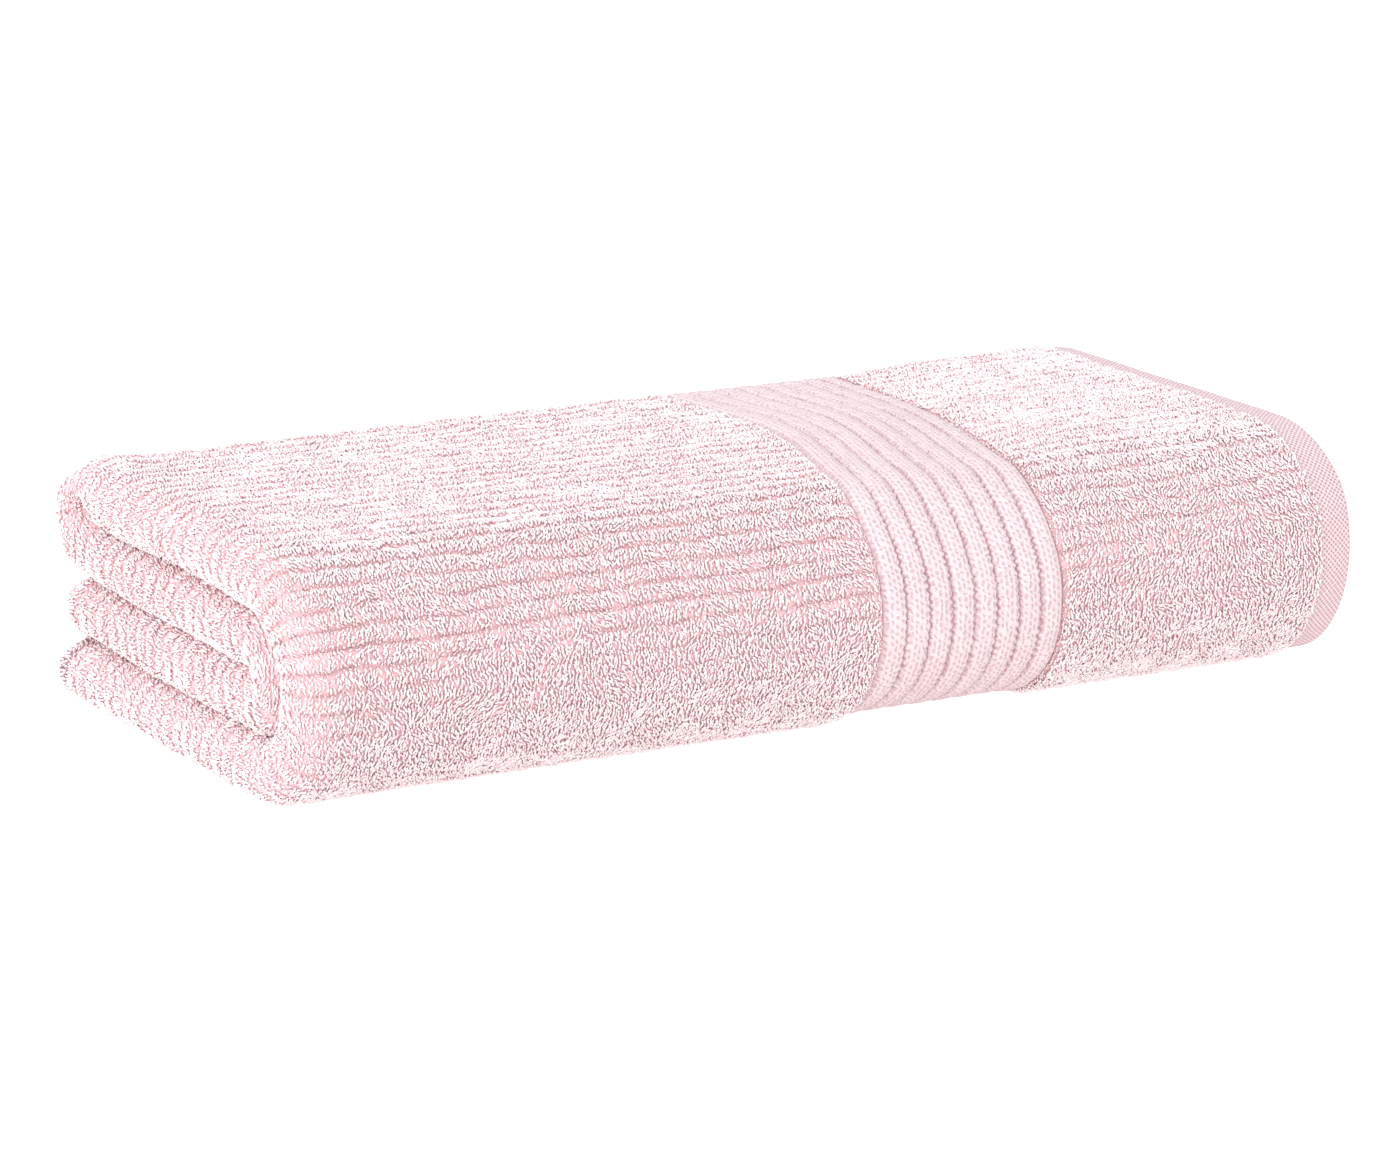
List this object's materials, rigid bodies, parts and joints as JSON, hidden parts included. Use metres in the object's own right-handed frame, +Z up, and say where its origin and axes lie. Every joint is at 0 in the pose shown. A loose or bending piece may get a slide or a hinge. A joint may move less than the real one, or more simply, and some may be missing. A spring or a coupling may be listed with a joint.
{
  "type": "bath towel",
  "caption": "Plush ribbed terry bath towel with woven dobby borders and hems, folded into a soft oblong pack.",
  "frame": {"origin": "centre of the underside of the folded pack, on the surface that it lies on", "axes": "+X along the pack towards the outer end hem and the border, +Y towards the back, where the free side edges are, +Z up through the folded layers"},
  "size_m": [0.3794, 0.187, 0.0796],
  "materials": {
    "terry": "soft looped pile",
    "border": "flat dobby weave",
    "hem": "plain weave",
    "thread": "sewing thread",
    "label": "woven tape"
  },
  "bodies": {
    "root": {"terry_field": "terry", "header_terry_outer": "terry", "header_terry_inner": "terry", "dobby_border_outer": "border", "dobby_border_inner": "border", "end_hem_outer": "hem", "end_hem_inner": "hem", "side_hem_upper": "hem", "side_hem_lower": "hem", "end_hem_thread_outer": "thread", "end_hem_thread_inner": "thread", "side_hem_thread_upper": "thread", "side_hem_thread_lower": "thread", "care_label": "label"}
  },
  "joints": []
}
